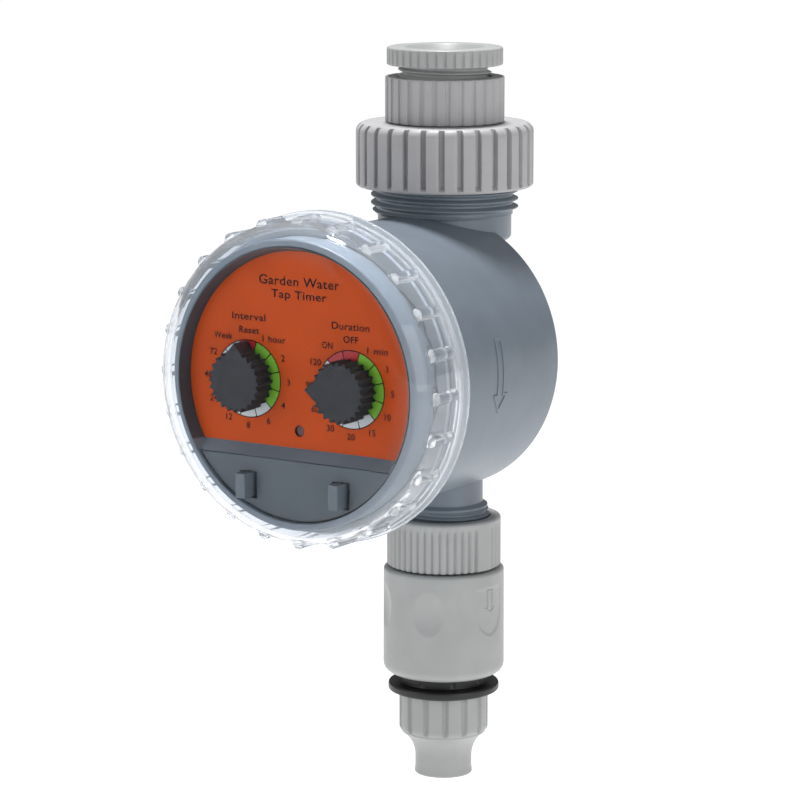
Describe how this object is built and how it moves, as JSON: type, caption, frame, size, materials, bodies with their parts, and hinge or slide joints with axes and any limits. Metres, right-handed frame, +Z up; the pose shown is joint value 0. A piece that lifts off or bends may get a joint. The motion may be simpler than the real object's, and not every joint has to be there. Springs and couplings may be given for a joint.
{
  "type": "drip irrigation timer",
  "caption": "Tap-mounted watering timer: drum with a clear screw cover, two dials, battery tray and motor-driven ball valve, with threaded inlet fittings above and a hose connector below.",
  "frame": {"origin": "centre of the tap inlet's open mouth, on the water pipe's axis", "axes": "+Z up the water pipe, out of the tap inlet; -Y out of the dial face; +X to the right of someone who faces the dials"},
  "size_m": [0.0914, 0.1078, 0.2114],
  "materials": {
    "light_grey_plastic": "satin",
    "warm_grey_plastic": "satin",
    "blue_grey_plastic": "satin",
    "inner_grey_plastic": "satin",
    "rubber_seal": "matte",
    "white_plastic": "satin",
    "clear_plastic": "gloss",
    "orange_label": "satin",
    "charcoal_knob": "matte",
    "black_electronics": "satin",
    "circuit_green": "gloss",
    "steel": "satin",
    "brass_parts": "satin",
    "cell_jacket": "satin",
    "led_resin": "gloss",
    "wire_insulation": "satin",
    "black_plastic": "satin"
  },
  "bodies": {
    "tap_end": {"reducer_bush": "light_grey_plastic", "tap_washer": "rubber_seal"},
    "adapter": {"inlet_adapter": "warm_grey_plastic", "bush_washer": "rubber_seal"},
    "union": {"union_nut": "warm_grey_plastic"},
    "timer": {"valve_body": "blue_grey_plastic", "main_housing": "blue_grey_plastic", "union_seal": "rubber_seal", "filter_screen": "white_plastic", "control_panel": "blue_grey_plastic", "face_label": "orange_label", "panel_screws": "steel", "interval_switch": "black_electronics", "duration_switch": "black_electronics", "circuit_board": "circuit_green", "board_parts": "black_electronics", "board_screws": "steel", "status_led": "led_resin", "battery_contacts": "steel", "gearbox_base": "inner_grey_plastic", "gearbox_cover": "inner_grey_plastic", "gearbox_screws": "steel", "gear_motor": "steel", "motor_leads": "wire_insulation", "gear_axles": "steel", "upper_seat": "white_plastic", "lower_seat": "white_plastic", "seat_retainer": "inner_grey_plastic"},
    "cover_ring": {"cover_seal": "rubber_seal"},
    "cover": {"clear_cover": "clear_plastic"},
    "interval_dial": {"interval_knob": "charcoal_knob", "interval_spindle": "white_plastic"},
    "duration_dial": {"duration_knob": "charcoal_knob", "duration_spindle": "white_plastic"},
    "tray": {"battery_tray": "blue_grey_plastic", "battery_link": "brass_parts", "battery_left": "cell_jacket", "battery_right": "cell_jacket"},
    "left_latch": {"latch_left": "blue_grey_plastic"},
    "right_latch": {"latch_right": "blue_grey_plastic"},
    "valve": {"valve_ball": "steel", "valve_stem": "brass_parts", "stem_seals": "rubber_seal", "output_gear": "white_plastic"},
    "gear_two": {"second_gear": "white_plastic"},
    "gear_one": {"first_gear": "white_plastic"},
    "pinion": {"motor_pinion": "brass_parts"},
    "outlet": {"outlet_adapter": "light_grey_plastic", "outlet_washer": "rubber_seal", "nipple_seal": "rubber_seal"},
    "connector": {"connector_body": "black_plastic", "grip_jaws": "white_plastic", "sleeve_spring": "steel"},
    "sleeve": {"connector_sleeve": "light_grey_plastic"},
    "tail_nut": {"hose_nut": "light_grey_plastic"}
  },
  "joints": [
    {"name": "adapter_turn", "type": "hinge", "parent": "tap_end", "child": "adapter", "pos_m": [0, 0, -0.014], "axis": [0, 0, 1], "continuous": true},
    {"name": "union_nut_turn", "type": "hinge", "parent": "adapter", "child": "union", "pos_m": [0, 0, -0.03], "axis": [0, 0, 1], "continuous": true},
    {"name": "timer_swivel", "type": "hinge", "parent": "adapter", "child": "timer", "pos_m": [0, 0, -0.036], "axis": [0, 0, 1], "continuous": true},
    {"name": "cover_lift", "type": "slide", "parent": "timer", "child": "cover_ring", "axis": [0, -1, 0], "range_m": [0, 0.06]},
    {"name": "cover_turn", "type": "hinge", "parent": "cover_ring", "child": "cover", "pos_m": [0, -0.07, -0.086], "axis": [0, 1, 0], "range_deg": [-545, 0]},
    {"name": "tray_slide", "type": "slide", "parent": "timer", "child": "tray", "axis": [0, -1, 0], "range_m": [0, 0.049]},
    {"name": "latch_left_press", "type": "slide", "parent": "tray", "child": "left_latch", "axis": [1, 0, 0], "range_m": [0, 0.0011], "stiffness_N_per_m": 900, "springref_m": -0.0008},
    {"name": "latch_right_press", "type": "slide", "parent": "tray", "child": "right_latch", "axis": [-1, 0, 0], "range_m": [0, 0.0011], "stiffness_N_per_m": 900, "springref_m": -0.0008},
    {"name": "interval_turn", "type": "hinge", "parent": "timer", "child": "interval_dial", "pos_m": [-0.0167, -0.075, -0.086], "axis": [0, 1, 0], "range_deg": [0, 330]},
    {"name": "duration_turn", "type": "hinge", "parent": "timer", "child": "duration_dial", "pos_m": [0.0167, -0.075, -0.086], "axis": [0, 1, 0], "range_deg": [-270, 60]},
    {"name": "valve_turn", "type": "hinge", "parent": "timer", "child": "valve", "pos_m": [0, -0.012, -0.086], "axis": [0, 1, 0], "range_deg": [0, 90]},
    {"name": "second_gear_turn", "type": "hinge", "parent": "timer", "child": "gear_two", "pos_m": [-0.00926, -0.024, -0.07497], "axis": [0, 1, 0], "range_deg": [-271, 1]},
    {"name": "first_gear_turn", "type": "hinge", "parent": "timer", "child": "gear_one", "pos_m": [0, -0.027, -0.06394], "axis": [0, 1, 0], "range_deg": [-1, 811]},
    {"name": "pinion_turn", "type": "hinge", "parent": "timer", "child": "pinion", "pos_m": [0.0144, -0.028, -0.06394], "axis": [0, 1, 0], "range_deg": [-2431, 1]},
    {"name": "outlet_turn", "type": "hinge", "parent": "timer", "child": "outlet", "pos_m": [0, 0, -0.14], "axis": [0, 0, 1], "continuous": true},
    {"name": "connector_swivel", "type": "hinge", "parent": "outlet", "child": "connector", "pos_m": [0, 0, -0.165], "axis": [0, 0, 1], "continuous": true},
    {"name": "sleeve_pull", "type": "slide", "parent": "connector", "child": "sleeve", "axis": [0, 0, -1], "range_m": [0, 0.0027], "stiffness_N_per_m": 600, "springref_m": -0.002, "deforming": ["sleeve_spring"]},
    {"name": "hose_nut_turn", "type": "hinge", "parent": "connector", "child": "tail_nut", "pos_m": [0, 0, -0.192], "axis": [0, 0, 1], "continuous": true}
  ],
  "couplings": [
    {"joint": "cover_turn", "follows": "cover_lift", "rad_per_m": -157.08},
    {"joint": "tray_slide", "follows": "cover_lift", "ratio": 0.8},
    {"joint": "second_gear_turn", "follows": "valve_turn", "ratio": -3},
    {"joint": "first_gear_turn", "follows": "valve_turn", "ratio": 9},
    {"joint": "pinion_turn", "follows": "valve_turn", "ratio": -27}
  ]
}
